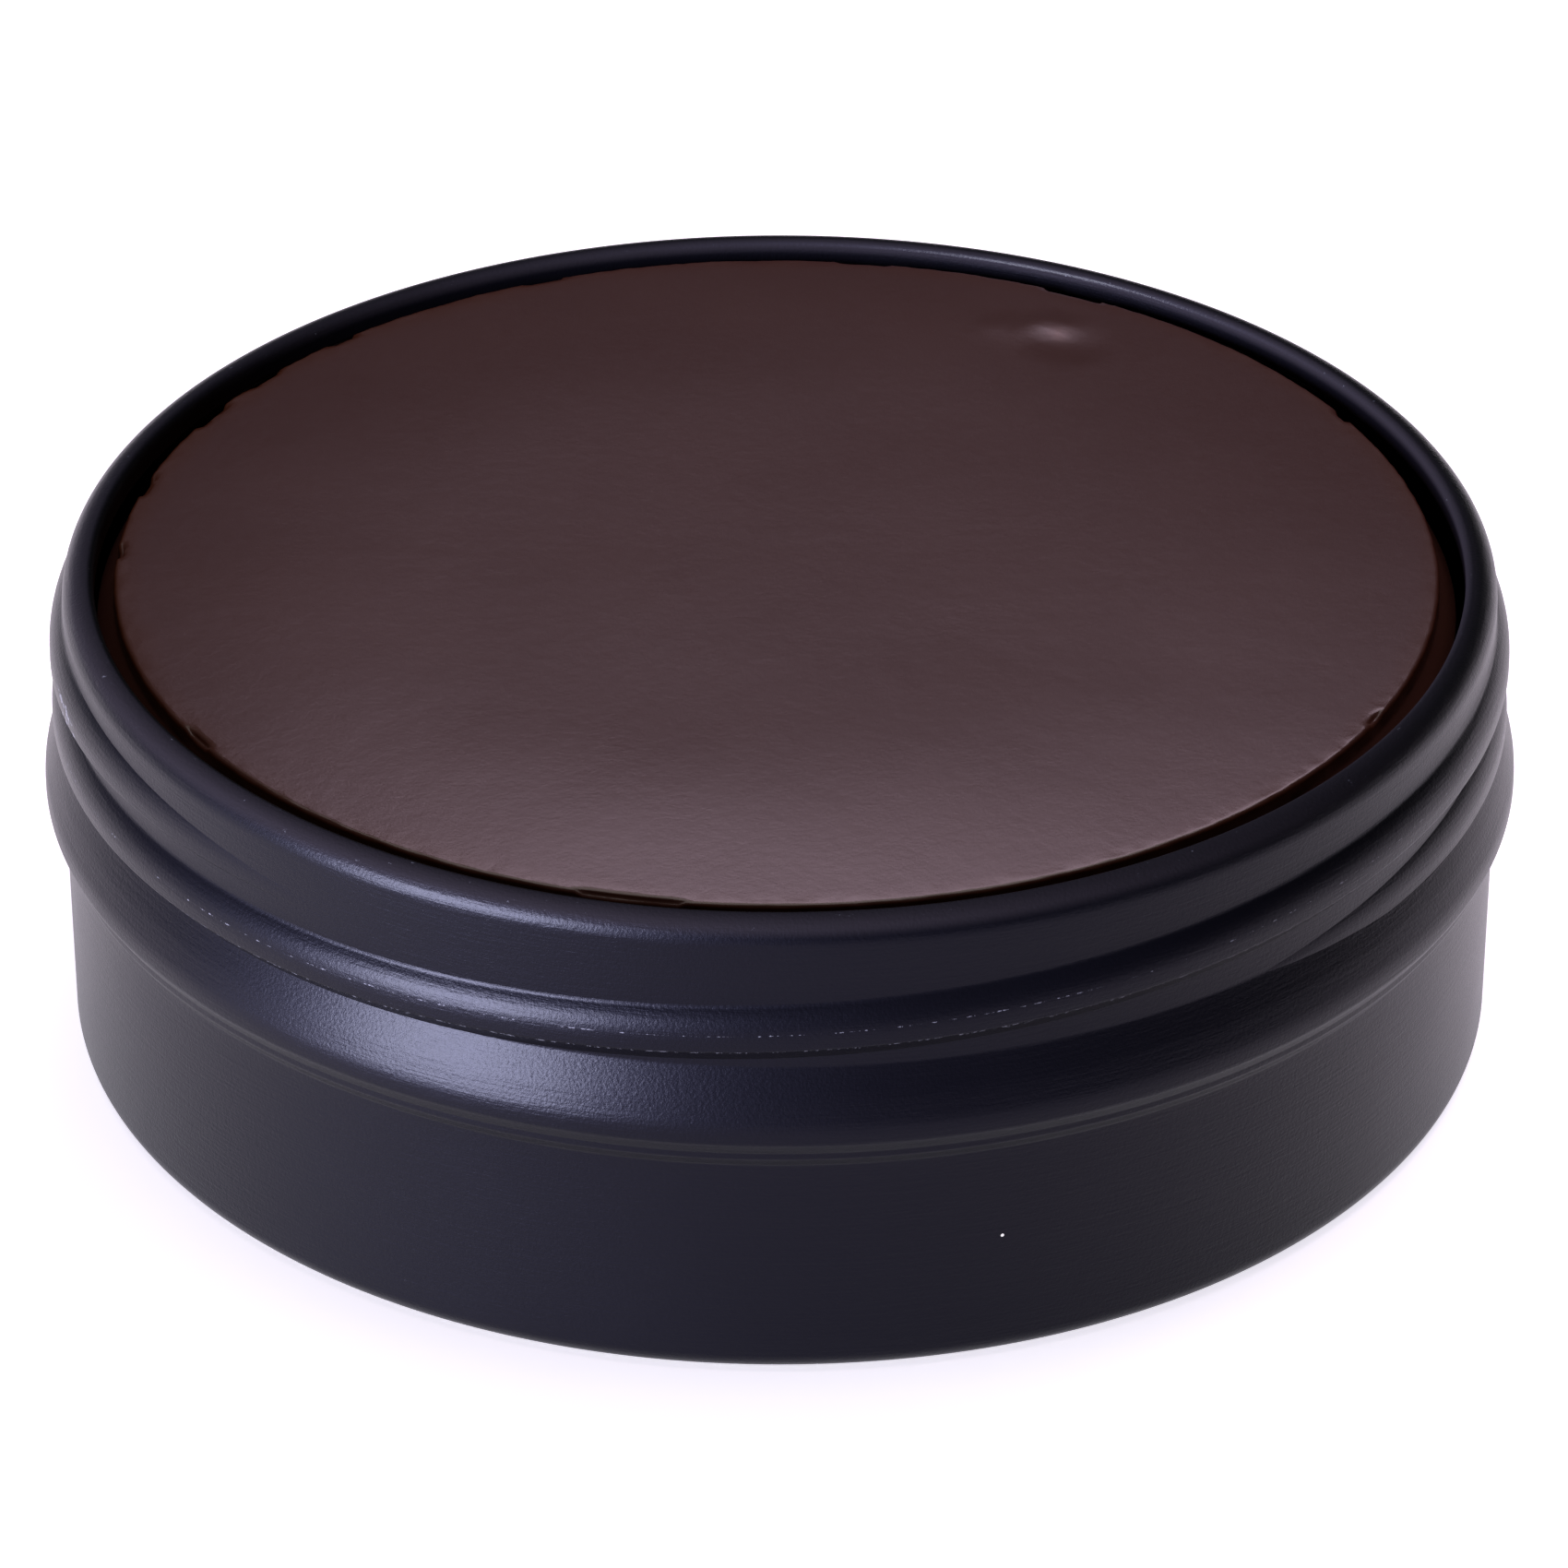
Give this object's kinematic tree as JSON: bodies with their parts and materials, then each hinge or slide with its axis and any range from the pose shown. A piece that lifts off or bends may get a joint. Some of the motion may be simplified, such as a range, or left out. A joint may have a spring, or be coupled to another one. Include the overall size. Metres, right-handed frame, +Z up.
{
  "type": "shoe polish tin",
  "caption": "Open round screw-neck aluminium tin filled with a cake of dark wax shoe polish, with a rolled rim, rolled thread, shoulder bead and recessed base.",
  "frame": {"origin": "centre of the foot ring, on the plane the tin stands on", "axes": "+Z up along the tin's axis, towards the open mouth; -Y towards the viewer, +X to the viewer's right; the thread's steep sector is on the -Y side"},
  "size_m": [0.083, 0.083, 0.028],
  "materials": {
    "black_satin_aluminium": "satin",
    "brown_wax": "satin",
    "amber_wax_film": "gloss"
  },
  "bodies": {
    "root": {"tin_body": "black_satin_aluminium", "polish_cake": "brown_wax", "wax_film": "amber_wax_film"}
  },
  "joints": []
}
